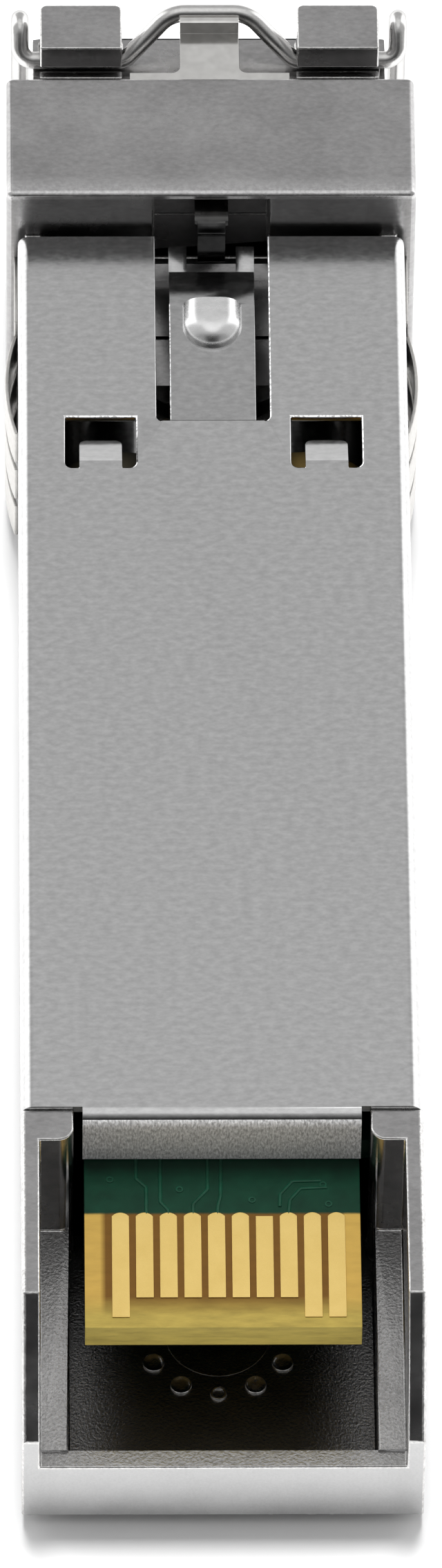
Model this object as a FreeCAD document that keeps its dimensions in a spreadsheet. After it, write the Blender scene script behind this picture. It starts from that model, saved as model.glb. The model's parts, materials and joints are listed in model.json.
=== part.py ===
import FreeCAD, Part
import math
import os
import Sketcher

os.makedirs("parts", exist_ok=True)
doc = FreeCAD.newDocument("sfp_transceiver")

# Lengths in millimetres. While a piece is drawn, y runs from the contact end to the nose
# and z from the label face to the latch face.
sizes = [
    # outer form and cast housing
    ("body_length", 57.1), ("body_height", 8.5), ("port_pitch", 6.25), ("port_to_side", 3.575),
    ("sheet", 0.3), ("wall_thick", 0.5), ("floor_thick", 1.2), ("side_fold", 5.5), ("tray_start", 10.65),
    ("cast_overlap", 0.2), ("cast_round", 0.2), ("neck_length", 3.3), ("neck_low", 0.75),
    ("collar_length", 5.3), ("collar_out", 0.4), ("collar_rise", 1.9), ("collar_drop", 0.5),
    ("collar_round", 0.25), ("port_width", 4.75), ("keyway_width", 2.7), ("keyway_length", 6.5),
    ("hook_length", 2.0), ("hook_wall", 0.8), ("hook_gap", 0.145), ("hook_side", 0.1), ("hook_inset", 0.25),
    ("hook_round", 0.25), ("sill_length", 0.35), ("sill_height", 0.35), ("bail_gap", 0.125),
    ("seat_gap", 0.055), ("bulkhead_depth", 5.0), ("bulkhead_drop", 1.5), ("pocket_depth", 2.4),
    ("pocket_side", 0.25), ("tunnel_side", 0.17), ("tunnel_under", 0.05), ("tunnel_over", 0.12),
    ("tunnel_room", 0.23), ("mouth_half", 2.0), ("mouth_over", 0.35), ("mouth_floor", 0.5),
    ("pocket_wall", 0.3),
    # contact end of the housing
    ("skirt_thick", 0.6), ("skirt_drop", 0.15), ("skirt_slope", 3.1), ("skirt_end", 4.16),
    ("post_depth", 1.25), ("post_round", 0.5), ("ledge_set", 0.2), ("ledge_height", 3.25),
    ("ledge_rear", 0.45), ("lip_height", 2.73), ("lip_depth", 0.7), ("recess_height", 1.3),
    ("rail_width", 0.7), ("rail_short", 1.0),
    # folded cover
    ("cover_gap", 0.3), ("cover_bend", 0.45), ("flange_side", 0.3), ("flange_over", 0.25),
    ("slot_width", 0.47), ("window_in", 2.66), ("window_out", 5.1), ("window_back", 7.05),
    ("window_length", 2.23), ("window_round", 0.25), ("tab_side", 0.49), ("tab_length", 1.5),
    ("tab_flat", 0.3), ("tab_drop", 0.4),
    # latch tongue
    ("latch_back", 3.5), ("tongue_root", 5.0), ("tongue_half", 1.48), ("tongue_gap", 0.04),
    ("tongue_flat", 0.2), ("ramp_run", 1.3), ("ramp_dip", 0.26), ("fork_run", 2.0), ("fork_dip", 0.48),
    ("tip_run", 2.95), ("tip_dip", 0.25), ("fork_half", 0.85), ("boss_half", 1.04), ("boss_depth", 0.76),
    ("boss_height", 0.6), ("boss_round", 0.3),
    # wire bail
    ("wire", 0.65), ("crank_rise", 1.16), ("ear_rise", 1.48), ("arm_inset", 0.5), ("crank_foot", 0.1),
    ("crank_top", 1.35), ("crossbar_under", 0.225), ("wire_ends", 0.3), ("arm_bend", 0.9),
    ("wire_bend", 0.48), ("crank_bend", 1.2), ("journal_over", 0.01),
    # release slider
    ("slider_thick", 0.25), ("slider_under", 0.29), ("strip_half", 1.02), ("push_gap", 0.1),
    ("end_wall_rise", 0.57), ("plate_half", 2.78), ("plate_proud", 0.74), ("plate_length", 1.64),
    ("plate_corner", 0.3), ("stem_half", 0.58), ("foot_thick", 0.3), ("foot_dip", 0.55),
    ("foot_clear", 0.13), ("foot_side", 0.1), ("foot_round", 0.1), ("foot_bend", 0.4),
    # grounding clip
    ("clip_thick", 0.12), ("band_width", 2.9), ("band_drop", 1.5), ("finger_length", 4.3),
    ("finger_bulge", 0.45), ("finger_width", 1.6), ("finger_pitch", 2.0), ("finger_first", 0.6),
    ("label_finger_width", 1.8), ("label_finger_pitch", 2.2),
    # circuit board and contacts
    ("board_low", 5.25), ("board_thick", 1.0), ("board_end", 3.2), ("tail_half", 4.6), ("tail_side", 0.35),
    ("board_side", 0.2), ("board_gap", 0.65), ("step_gap", 0.25), ("contact_pitch", 0.8),
    ("contact_width", 0.58), ("contact_thick", 0.04), ("contact_offset", 0.2), ("contact_reach", 4.7),
    ("contact_long", 0.4), ("contact_short", 1.2), ("contact_cut", 0.15),
    # optical sub-assemblies and their clamp
    ("barrel_radius", 1.225), ("barrel_gap", 0.055), ("barrel_reach", 3.5), ("flange_radius", 2.2),
    ("flange_thick", 0.6), ("groove_width", 0.7), ("groove_radius", 1.6), ("cup_side", 0.25),
    ("cup_wall", 0.4), ("cup_depth", 1.9), ("cap_radius", 1.98), ("cap_gap", 0.07), ("cap_short", 0.2),
    ("header_side", 0.125), ("header_under", 0.4), ("header_thick", 1.2), ("lip_thick", 0.6),
    ("ferrule_radius", 0.63), ("sleeve_wall", 0.21), ("sleeve_length", 6.4), ("sleeve_slit", 0.15),
    ("fit_gap", 0.01), ("stub_radius", 0.4), ("stub_length", 1.7), ("lead_radius", 0.22),
    ("lead_circle", 1.0), ("lead_length", 1.0), ("flex_half", 1.7), ("flex_thick", 0.1), ("flex_gap", 0.55),
    ("flex_lap", 2.9), ("flex_under", 1.75), ("flex_hole_gap", 0.05), ("clamp_thick", 0.6),
    ("clamp_over", 2.35), ("clamp_gap", 0.06),
    # chips and small parts
    ("chip_height", 0.9), ("driver_side", 4.0), ("driver_back", 8.5), ("controller_side", 5.0),
    ("controller_step", 9.1), ("cap_length", 1.0), ("cap_width", 0.5), ("cap_step", 3.6), ("cap_pitch", 1.6),
    ("resistor_height", 0.35), ("resistor_back", 4.0),
]
sheet = doc.addObject("Spreadsheet::Sheet", "dims")
sheet.Label = "driving dimensions"
for row, (alias, number) in enumerate(sizes, start=1):
    sheet.set("A%d" % row, alias)
    sheet.set("B%d" % row, str(number))
    sheet.setAlias("B%d" % row, alias)
doc.recompute()


class Size:
    """A number together with the text that binds it to the sheet."""

    def __init__(self, value, text):
        self.value = value
        self.text = text

    def __add__(self, other):
        other = as_size(other)
        return Size(self.value + other.value, "(%s + %s)" % (self.text, other.text))

    def __sub__(self, other):
        other = as_size(other)
        return Size(self.value - other.value, "(%s - %s)" % (self.text, other.text))

    def __mul__(self, other):
        other = as_size(other)
        return Size(self.value * other.value, "(%s * %s)" % (self.text, other.text))

    def __truediv__(self, other):
        other = as_size(other)
        return Size(self.value / other.value, "(%s / %s)" % (self.text, other.text))

    def __neg__(self):
        return Size(-self.value, "(0 - %s)" % self.text)


def as_size(x):
    if isinstance(x, Size):
        return x
    return Size(float(x), "(%r)" % float(x))


def dim(alias):
    return Size(float(sheet.get(alias)), "dims." + alias)


# Places that several pieces share
half_wire = dim("wire") * 0.5
port_x = dim("port_pitch") * 0.5
half_width = port_x + dim("port_to_side")
sheet_in = half_width - dim("sheet")
wall_in = sheet_in - dim("wall_thick")
body_top = dim("body_height")
inner_top = body_top - dim("sheet")
nose_front = dim("body_length")
collar_front = nose_front - dim("neck_length")
collar_rear = collar_front - dim("collar_length")
collar_half = half_width + dim("collar_out")
collar_top = body_top + dim("collar_rise")
tray_start = dim("tray_start")
header_radius = dim("port_to_side") - dim("sheet") - dim("wall_thick") - dim("header_side")
axis_z = dim("floor_thick") + header_radius + dim("header_under")

arm_x = collar_half - dim("arm_inset")
neck_half = arm_x - half_wire - dim("bail_gap")
hook_wall = nose_front - dim("hook_wall")
pivot_y = hook_wall - half_wire - dim("bail_gap")
pivot_z = body_top + half_wire + dim("seat_gap")
crank_y = pivot_y + dim("crank_rise")
crank_z = pivot_z + dim("crank_rise")
travel = dim("crank_rise") * 2
arm_y = pivot_y + dim("ear_rise")

slider_top = crank_z - dim("slider_under")
slider_low = slider_top - dim("slider_thick")
plate_front = collar_front + dim("plate_proud")
plate_rear = plate_front - dim("plate_length")
tunnel_half = dim("plate_half") + dim("tunnel_side")
tunnel_rear = plate_rear - travel - dim("tunnel_room")
boss_front = collar_rear - dim("latch_back")
notch_half = dim("tongue_half") + dim("slot_width")
notch_rear = boss_front - dim("tongue_root")

board_low = dim("board_low")
board_top = board_low + dim("board_thick")
board_half = wall_in - dim("board_side")
board_step = tray_start + dim("step_gap")
post_inner = dim("tail_half") + dim("tail_side")
bulkhead_rear = collar_rear - dim("bulkhead_depth")
groove_front = bulkhead_rear - dim("flange_thick")
groove_rear = groove_front - dim("groove_width")
cup_floor = groove_rear - dim("cup_wall")
cup_rear = cup_floor - dim("cup_depth")
header_rear = cup_rear - dim("header_thick")
flex_front = header_rear - dim("flex_gap")
flex_back = flex_front - dim("flex_thick")
board_front = flex_back - dim("board_gap")
flex_rear = board_front - dim("flex_lap")

mid_y = (arm_y + half_wire) * 0.5
lift = dim("collar_drop")


def place(obj, x=0.0, y=0.0, z=0.0):
    # moves a finished piece to the middle of the footprint, with the collar's underside at zero height
    obj.setExpression(".Placement.Base.x", as_size(x).text)
    obj.setExpression(".Placement.Base.y", (as_size(y) - mid_y).text)
    obj.setExpression(".Placement.Base.z", (as_size(z) + lift).text)


def new_body(name):
    body = doc.addObject("PartDesign::Body", name)
    body.Label = name
    body.AllowCompound = True
    place(body)
    return body


def plane_of(body, role):
    return [f for f in body.Origin.OriginFeatures if f.Role == role][0]


def new_sketch(body, name, plane, offset):
    sketch = body.newObject("Sketcher::SketchObject", name)
    sketch.AttachmentSupport = [(plane_of(body, plane + "_Plane"), "")]
    sketch.MapMode = "FlatFace"
    sketch.setExpression(".AttachmentOffset.Base.z", as_size(offset).text)
    return sketch


def bind(sketch, number, *constraint):
    index = sketch.addConstraint(Sketcher.Constraint(*constraint, number.value))
    sketch.setExpression("Constraints[%d]" % index, number.text)


def pin_point(sketch, geo, end, x, y):
    bind(sketch, as_size(x), "DistanceX", -1, 1, geo, end)
    bind(sketch, as_size(y), "DistanceY", -1, 1, geo, end)


def add_arc(sketch, start, stop, radius):
    # a positive radius bows to the right of the way from start to stop, a negative one to the left
    if radius.value < 0:
        add_arc(sketch, stop, start, -radius)
        return (2, 1)
    chord = stop - start
    left = FreeCAD.Vector(-chord.y, chord.x, 0).normalize()
    depth = math.sqrt(radius.value ** 2 - chord.Length ** 2 / 4)
    centre = (start + stop) * 0.5 + left * depth
    circle = Part.Circle(centre, FreeCAD.Vector(0, 0, 1), radius.value)
    first = math.atan2(start.y - centre.y, start.x - centre.x)
    last = math.atan2(stop.y - centre.y, stop.x - centre.x)
    geo = sketch.addGeometry(Part.ArcOfCircle(circle, first, last), False)
    bind(sketch, radius, "Radius", geo)
    return (1, 2)


def add_loop(sketch, points):
    # a point with a third number starts an arc of that radius
    corners = [(as_size(p[0]), as_size(p[1])) for p in points]
    vectors = [FreeCAD.Vector(x.value, y.value, 0) for x, y in corners]
    count = len(points)
    first = sketch.GeometryCount
    ends = []
    for i, point in enumerate(points):
        start, stop = vectors[i], vectors[(i + 1) % count]
        if len(point) == 3:
            ends.append(add_arc(sketch, start, stop, as_size(point[2])))
        else:
            sketch.addGeometry(Part.LineSegment(start, stop), False)
            ends.append((1, 2))
    for i in range(count):
        j = (i + 1) % count
        sketch.addConstraint(Sketcher.Constraint("Coincident", first + i, ends[i][1], first + j, ends[j][0]))
    for i, (x, y) in enumerate(corners):
        pin_point(sketch, first + i, ends[i][0], x, y)


def add_circle(sketch, x, y, radius):
    x, y, radius = as_size(x), as_size(y), as_size(radius)
    centre = FreeCAD.Vector(x.value, y.value, 0)
    geo = sketch.addGeometry(Part.Circle(centre, FreeCAD.Vector(0, 0, 1), radius.value), False)
    bind(sketch, radius, "Radius", geo)
    pin_point(sketch, geo, 3, x, y)


def rectangle(x0, x1, y0, y1):
    return [(x0, y0), (x1, y0), (x1, y1), (x0, y1)]


def mirrored(points):
    count = len(points)
    flipped = []
    for i in range(count):
        x, y = points[count - 1 - i][:2]
        bow = tuple(points[(count - 2 - i) % count][2:])
        flipped.append((-as_size(x), y) + bow)
    return flipped


def draw(sketch, loops, circles):
    for loop in loops:
        add_loop(sketch, loop)
    for x, y, radius in circles:
        add_circle(sketch, x, y, radius)


def pad(body, name, plane, lo, hi, loops=(), circles=()):
    lo, hi = as_size(lo), as_size(hi)
    offset = -lo if plane == "XZ" else lo
    sketch = new_sketch(body, name + "_sketch", plane, offset)
    draw(sketch, loops, circles)
    feature = body.newObject("PartDesign::Pad", name)
    feature.Profile = sketch
    feature.Reversed = plane == "XZ"
    feature.setExpression("Length", (hi - lo).text)
    doc.recompute()
    return feature


def pocket(body, name, plane, lo, hi, loops=(), circles=()):
    lo, hi = as_size(lo), as_size(hi)
    offset = -lo if plane == "XZ" else hi
    sketch = new_sketch(body, name + "_sketch", plane, offset)
    draw(sketch, loops, circles)
    before = body.Shape.Volume
    feature = body.newObject("PartDesign::Pocket", name)
    feature.Profile = sketch
    feature.setExpression("Length", (hi - lo).text)
    doc.recompute()
    if body.Shape.Volume > before - 1e-6:
        raise RuntimeError(name + " removed nothing")
    return feature


def round_edges(body, name, radius, chosen):
    # chosen tells from an edge's box whether that edge is rounded
    edges = ["Edge%d" % (i + 1) for i, e in enumerate(body.Shape.Edges) if chosen(e.BoundBox)]
    base = body.Tip
    feature = body.newObject("PartDesign::Fillet", name)
    feature.Base = (base, edges)
    feature.setExpression("Radius", radius.text)
    doc.recompute()
    return feature


def near(a, b):
    return abs(a - b) < 1e-4


def upright_at(box, xs, y):
    # whether an edge's box is a line that stands at this y, at one of these distances from the middle
    straight = near(box.XLength, 0) and near(box.YLength, 0)
    return straight and near(box.YMin, (y - mid_y).value) and any(near(abs(box.XMin), x.value) for x in xs)


# Die-cast housing: nose collar, open tray and contact end
housing = new_body("housing")
overlap = dim("cast_overlap")
collar_rect = rectangle(-collar_half, collar_half, -dim("collar_drop"), collar_top)
pad(housing, "collar", "XZ", collar_rear, collar_front, [collar_rect])
collar_length = dim("collar_length").value
round_edges(housing, "collar_corners", dim("collar_round"), lambda b: near(b.YLength, collar_length))
round_edges(housing, "collar_rims", dim("cast_round"), lambda b: near(b.YLength, 0))
cover_ledge = body_top - dim("side_fold")
tray_right = [
    (half_width, 0), (half_width, cover_ledge), (sheet_in, cover_ledge), (sheet_in, inner_top),
    (wall_in, inner_top), (wall_in, dim("floor_thick")),
]
pad(housing, "tray", "XZ", tray_start, collar_rear + overlap, [tray_right + mirrored(tray_right)])
floor_rect = rectangle(-half_width, half_width, 0, dim("recess_height"))
pad(housing, "rear_floor", "XZ", 0, tray_start, [floor_rect])
ledge = rectangle(post_inner + dim("ledge_set"), half_width, 0, dim("ledge_height"))
pad(housing, "ledges", "XZ", dim("ledge_rear"), tray_start, [ledge, mirrored(ledge)])
lip = rectangle(-half_width, half_width, 0, dim("lip_height"))
pad(housing, "rear_lip", "XZ", 0, dim("lip_depth"), [lip])
skirt_top = body_top - dim("skirt_drop")
skirt_inner = half_width - dim("skirt_thick")
skirt = [
    (0, 0), (tray_start, 0), (tray_start, skirt_top), (dim("skirt_slope"), skirt_top), (0, dim("skirt_end")),
]
pad(housing, "right_skirt", "YZ", skirt_inner, half_width, [skirt])
pad(housing, "left_skirt", "YZ", -half_width, -skirt_inner, [skirt])
post_rear = tray_start - dim("post_depth")
post = rectangle(post_inner, half_width, post_rear, tray_start)
pad(housing, "posts", "XY", 0, skirt_top, [post, mirrored(post)])
round_edges(housing, "post_corners", dim("post_round"), lambda b: upright_at(b, [post_inner], post_rear))
rail = rectangle(board_half - dim("rail_width"), wall_in + overlap, dim("floor_thick") - overlap, board_low)
rail_front = board_front - dim("rail_short")
pad(housing, "board_rails", "XZ", tray_start - overlap, rail_front, [rail, mirrored(rail)])
bulkhead_half = wall_in + overlap
bulkhead_top = body_top - dim("bulkhead_drop")
bulkhead = rectangle(-bulkhead_half, bulkhead_half, dim("floor_thick") - overlap, bulkhead_top)
pad(housing, "bulkhead", "XZ", bulkhead_rear, collar_rear + overlap, [bulkhead])
neck = rectangle(-neck_half, neck_half, dim("neck_low"), body_top)
pad(housing, "neck", "XZ", collar_front - overlap, nose_front, [neck])

# Hooks that hold the bail's wire down, each with a low sill behind it
hook_rear = nose_front - dim("hook_length")
hook_under = pivot_z + half_wire + dim("hook_gap")
hook_in = tunnel_half + dim("hook_side")
hook_out = neck_half - dim("hook_inset")
hook = [
    (hook_rear, hook_under), (hook_wall, hook_under), (hook_wall, body_top - overlap),
    (nose_front, body_top - overlap), (nose_front, collar_top), (hook_rear, collar_top),
]
sill_front = pivot_y - half_wire - dim("bail_gap")
sill_rear = sill_front - dim("sill_length")
sill = rectangle(sill_rear, sill_front, body_top - overlap, body_top + dim("sill_height"))
pad(housing, "right_hook", "YZ", hook_in, hook_out, [hook, sill])
pad(housing, "left_hook", "YZ", -hook_out, -hook_in, [hook, sill])
hook_top_z = (collar_top + lift).value


def hook_edge(box):
    # a hook's two upright corners at the nose
    return near(box.ZMax, hook_top_z) and upright_at(box, [hook_in, hook_out], nose_front)


round_edges(housing, "hook_edges", dim("hook_round"), hook_edge)

# Ports for the plugs, their keyways, and the bores that the barrels pass through
port_half = dim("port_width") * 0.5
port = rectangle(port_x - port_half, port_x + port_half, axis_z - port_half, axis_z + port_half)
pocket(housing, "ports", "XZ", collar_rear, nose_front, [port, mirrored(port)])
key_half = dim("keyway_width") * 0.5
keyway = rectangle(port_x - key_half, port_x + key_half, dim("neck_low") - overlap, axis_z)
pocket(housing, "keyways", "XZ", nose_front - dim("keyway_length"), nose_front, [keyway, mirrored(keyway)])
bore = dim("barrel_radius") + dim("barrel_gap")
pocket(housing, "barrel_bores", "XZ", bulkhead_rear, collar_rear, [],
       [(port_x, axis_z, bore), (-port_x, axis_z, bore)])

# Room for the latch tongue and the release slider
pocket_half = notch_half + dim("pocket_side")
pocket_low = body_top - dim("pocket_depth")
under_tongue = rectangle(-pocket_half, pocket_half, pocket_low, body_top)
pocket(housing, "under_tongue", "XZ", bulkhead_rear, collar_rear - dim("pocket_wall"), [under_tongue])
tunnel_low = slider_low - dim("tunnel_under")
tunnel = rectangle(-tunnel_half, tunnel_half, tunnel_low, slider_top + dim("tunnel_over"))
pocket(housing, "slider_tunnel", "XZ", tunnel_rear, collar_front, [tunnel])
mouth_low = axis_z + port_half + dim("mouth_floor")
mouth = rectangle(-dim("mouth_half"), dim("mouth_half"), mouth_low, slider_top + dim("mouth_over"))
pocket(housing, "tunnel_mouth", "XZ", collar_rear, tunnel_rear, [mouth])

# Folded cover with the slots round the tongue and two windows with bent tabs
cover = new_body("bottom_cover")
cover_front = collar_rear - dim("cover_gap")
cover_length = (cover_front - tray_start).value
cover_top_z = (body_top + lift).value
fold = rectangle(-half_width, half_width, cover_ledge, body_top)
pad(cover, "fold", "XZ", tray_start, cover_front, [fold])
round_edges(cover, "long_bends", dim("cover_bend"),
            lambda b: near(b.YLength, cover_length) and near(b.ZMin, cover_top_z))
inside = rectangle(-sheet_in, sheet_in, cover_ledge, inner_top)
pocket(cover, "inside", "XZ", tray_start, cover_front, [inside])
flange_rear = tray_start - dim("sheet")
flange_root = tray_start + dim("sheet")
flange_half = post_inner - dim("flange_side")
flange_low = board_top + dim("flange_over")
flange = [
    (flange_root, inner_top), (flange_root, body_top), (tray_start, body_top, dim("sheet")),
    (flange_rear, inner_top), (flange_rear, flange_low), (tray_start, flange_low), (tray_start, inner_top),
]
pad(cover, "rear_flange", "YZ", -flange_half, flange_half, [flange])
notch = rectangle(-notch_half, notch_half, notch_rear, cover_front)
pocket(cover, "tongue_notch", "XY", inner_top, body_top, [notch])
round_edges(cover, "slot_ends", dim("slot_width") * 0.5, lambda b: upright_at(b, [notch_half], notch_rear))
window_in = dim("window_in")
window_out = dim("window_out")
window_rear = boss_front - dim("window_back")
window = rectangle(window_in, window_out, window_rear, window_rear + dim("window_length"))
pocket(cover, "windows", "XY", inner_top, body_top, [window, mirrored(window)])
round_edges(cover, "window_corners", dim("window_round"),
            lambda b: upright_at(b, [window_in, window_out], window_rear))
tab_bend = window_rear + dim("tab_flat")
tab_root = window_rear - dim("sheet")
tab_front = window_rear + dim("tab_length")
tab = [
    (tab_root, inner_top), (tab_bend, inner_top), (tab_front, inner_top - dim("tab_drop")),
    (tab_front, body_top - dim("tab_drop")), (tab_bend, body_top), (tab_root, body_top),
]
tab_in = window_in + dim("tab_side")
tab_out = window_out - dim("tab_side")
pad(cover, "right_tab", "YZ", tab_in, tab_out, [tab])
pad(cover, "left_tab", "YZ", -tab_out, -tab_in, [tab])

# Latch tongue: flat root, ramp and two prongs, with the latch boss on top
tongue = new_body("latch_tongue")
fork_start = boss_front + dim("fork_run")
tongue_tip = boss_front + dim("tip_run")
tip_z = body_top - dim("tip_dip")
tongue_top = [
    (notch_rear + dim("tongue_gap"), body_top), (boss_front + dim("tongue_flat"), body_top),
    (boss_front + dim("ramp_run"), body_top - dim("ramp_dip")), (fork_start, body_top - dim("fork_dip")),
    (tongue_tip, tip_z),
]
tongue_low = [(y, z - dim("sheet")) for y, z in reversed(tongue_top)]
pad(tongue, "strip", "YZ", -dim("tongue_half"), dim("tongue_half"), [tongue_top + tongue_low])
fork = rectangle(-dim("fork_half"), dim("fork_half"), fork_start, tongue_tip)
pocket(tongue, "fork", "XY", body_top - dim("fork_dip") - dim("sheet") * 2, body_top, [fork])
boss_half = dim("boss_half")
boss_mid = boss_front - dim("boss_depth")
boss_top = body_top + dim("boss_height")
boss_root = body_top - dim("sheet") * 0.5
boss_side = rectangle(-boss_half, boss_half, boss_mid, boss_front)
pad(tongue, "boss_front", "XY", boss_root, boss_top, [boss_side])
pad(tongue, "boss_back", "XY", boss_root, boss_top, [], [(0, boss_mid, boss_half)])
boss_ahead = rectangle(-boss_half, boss_half, boss_front, boss_front + boss_half)
pocket(tongue, "boss_face", "XY", body_top, boss_top, [boss_ahead])
boss_top_z = (boss_top + lift).value
round_edges(tongue, "boss_edge", dim("boss_round"), lambda b: near(b.ZMin, boss_top_z))

# Wire bail: crossbar, arms, ears, the lengths that turn in the hooks, and the crank between them
crossbar_z = dim("neck_low") - half_wire - dim("crossbar_under")
right_side = [
    (dim("wire_ends") * 0.5, arm_y, crossbar_z, dim("arm_bend")),
    (arm_x, arm_y, crossbar_z, dim("arm_bend")),
    (arm_x, arm_y, pivot_z + dim("ear_rise"), dim("wire_bend")),
    (arm_x, pivot_y, pivot_z, dim("wire_bend")),
    (hook_in - dim("crank_foot"), pivot_y, pivot_z, dim("wire_bend")),
    (dim("crank_top"), crank_y, crank_z, dim("crank_bend")),
]
corners = [(FreeCAD.Vector(x.value, y.value, z.value), bend.value) for x, y, z, bend in right_side]
corners += [(FreeCAD.Vector(-v.x, v.y, v.z), bend) for v, bend in reversed(corners)]


def bent_wire(corners):
    # straight lengths joined by round bends
    edges = []
    here = corners[0][0]
    for (before, _), (at, bend), (after, _) in zip(corners, corners[1:], corners[2:]):
        back = (before - at).normalize()
        ahead = (after - at).normalize()
        half_angle = back.getAngle(ahead) * 0.5
        reach = bend / math.tan(half_angle)
        inward = (back + ahead).normalize()
        middle = at + inward * (bend / math.sin(half_angle) - bend)
        edges.append(Part.LineSegment(here, at + back * reach).toShape())
        edges.append(Part.Arc(at + back * reach, middle, at + ahead * reach).toShape())
        here = at + ahead * reach
    edges.append(Part.LineSegment(here, corners[-1][0]).toShape())
    return Part.Wire(edges)


# the wire is drawn with ten flats, which keeps its many bends light
centre_line = doc.addObject("Part::Feature", "bail_centre_line")
centre_line.Shape = bent_wire(corners)
section = doc.addObject("Part::RegularPolygon", "bail_section")
section.Polygon = 10
section.setExpression("Circumradius", half_wire.text)
section.Placement = FreeCAD.Placement(corners[0][0], FreeCAD.Rotation(FreeCAD.Vector(0, 1, 0), 90))
wire = doc.addObject("Part::Sweep", "bail_wire")
wire.Sections = [section]
wire.Spine = (centre_line, ["Edge%d" % (i + 1) for i in range(len(centre_line.Shape.Edges))])
wire.Solid = True
wire.Frenet = False


def journal(name, start):
    # the lengths that turn in the hooks are fully round
    pin = doc.addObject("Part::Cylinder", name)
    pin.setExpression("Radius", (half_wire + dim("journal_over")).text)
    pin.setExpression("Height", (hook_out - hook_in).text)
    pin.Placement.Rotation = FreeCAD.Rotation(FreeCAD.Vector(0, 1, 0), 90)
    pin.setExpression(".Placement.Base.x", start.text)
    pin.setExpression(".Placement.Base.y", pivot_y.text)
    pin.setExpression(".Placement.Base.z", pivot_z.text)
    return pin


bail = doc.addObject("Part::MultiFuse", "bail")
bail.Shapes = [wire, journal("right_journal", hook_in), journal("left_journal", -hook_out)]
place(bail)

# Release slider: upturned front end, T plate, stem and pressing foot
slider = new_body("release_slider")
strip_half = dim("strip_half")
strip_front = crank_y - half_wire - dim("push_gap")
plate_corner = dim("plate_corner")
foot_rear = boss_front + travel + dim("foot_clear")
foot_front = foot_rear + dim("foot_thick")
foot_low = body_top - dim("foot_dip")
foot_half = dim("stem_half") - dim("foot_side")
stem_rear = foot_rear + dim("foot_bend")
plan_right = [
    (foot_half, foot_rear), (foot_half, stem_rear), (dim("stem_half"), stem_rear),
    (dim("stem_half"), plate_rear), (dim("plate_half"), plate_rear),
    (dim("plate_half"), plate_front), (strip_half + plate_corner, plate_front, -plate_corner),
    (strip_half, plate_front + plate_corner), (strip_half, strip_front),
]
pad(slider, "sheet_strip", "XY", slider_low, slider_top, [plan_right + mirrored(plan_right)])
end_wall = rectangle(-strip_half, strip_half, strip_front - dim("slider_thick"), strip_front)
pad(slider, "end_wall", "XY", slider_low, slider_top + dim("end_wall_rise"), [end_wall])
foot_round = dim("foot_round")
foot = [
    (foot_rear, slider_top), (foot_rear, foot_low + foot_round, foot_round),
    (foot_rear + foot_round, foot_low), (foot_front - foot_round, foot_low, foot_round),
    (foot_front, foot_low + foot_round), (foot_front, slider_top),
]
pad(slider, "foot", "YZ", -foot_half, foot_half, [foot])
foot_rear_y = (foot_rear - mid_y).value
slider_top_z = (slider_top + lift).value
round_edges(slider, "foot_bend", dim("foot_bend"),
            lambda b: near(b.YMax, foot_rear_y) and near(b.ZMin, slider_top_z))

# Grounding spring clip: a band round three sides with bowed fingers
clip = new_body("emi_clip")
clip_out = half_width + dim("clip_thick")
band_rear = collar_rear - dim("band_width")
band_top = body_top - dim("band_drop")
band_right = [
    (clip_out, -dim("clip_thick")), (clip_out, band_top), (half_width, band_top), (half_width, 0),
]
pad(clip, "band", "XZ", band_rear, collar_rear, [band_right + mirrored(band_right)])
finger_root = band_rear + dim("clip_thick")
finger_end = band_rear - dim("finger_length")
half_chord = (finger_root - finger_end) * 0.5
bow = dim("finger_bulge") - dim("clip_thick")
bow_radius = (half_chord * half_chord + bow * bow) / (bow * 2)
finger = [
    (clip_out, finger_end, bow_radius), (clip_out, finger_root), (half_width, finger_root, -bow_radius),
    (half_width, finger_end),
]
for i in range(3):
    low = dim("finger_first") + dim("finger_pitch") * i
    pad(clip, "side_fingers_%d" % (i + 1), "XY", low, low + dim("finger_width"), [finger, mirrored(finger)])
label_finger = [(p[1], half_width - p[0]) + p[2:] for p in finger]
for i in range(5):
    left = dim("label_finger_pitch") * (i - 2) - dim("label_finger_width") * 0.5
    pad(clip, "label_finger_%d" % (i + 1), "YZ", left, left + dim("label_finger_width"), [label_finger])

# Circuit board with a narrow tail, and a row of contacts on each face
board = new_body("circuit_board")
outline_right = [
    (dim("tail_half"), dim("board_end")), (dim("tail_half"), board_step), (board_half, board_step),
    (board_half, board_front),
]
pad(board, "laminate", "XY", board_low, board_top, [outline_right + mirrored(outline_right)])


def contact_row(name, offset, low, long_ones, square_ones):
    row = new_body(name)
    start = dim("board_end") + dim("contact_reach")
    cut = dim("contact_cut")
    half = dim("contact_width") * 0.5
    loops = []
    for i in range(10):
        middle = dim("contact_pitch") * (i - 4.5) + offset
        end = dim("board_end") + (dim("contact_long") if i in long_ones else dim("contact_short"))
        tip = [(middle + half - cut, start), (middle - half + cut, start)]
        if i in square_ones:
            tip = []
        sides = [(middle - half, end), (middle + half, end), (middle + half, start - cut)]
        loops.append(sides + tip + [(middle - half, start - cut)])
    pad(row, name + "_pads", "XY", low, low + dim("contact_thick"), loops)


contact_row("contacts_upper", dim("contact_offset"), board_top, (0, 8, 9), (6,))
contact_row("contacts_lower", -dim("contact_offset"), board_low - dim("contact_thick"), (0, 6, 9), ())


# Optical sub-assemblies: the same set for light out and light in
def turned(name, x, profile):
    # profile runs as (radius, y) pairs round half of the section
    body = doc.addObject("PartDesign::Body", name)
    body.Label = name
    place(body, x, 0, axis_z)
    sketch = new_sketch(body, name + "_profile", "XY", 0)
    add_loop(sketch, profile)
    feature = body.newObject("PartDesign::Revolution", name + "_turn")
    feature.Profile = sketch
    feature.ReferenceAxis = (sketch, ["V_Axis"])
    feature.Angle = 360
    doc.recompute()
    return body


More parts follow.
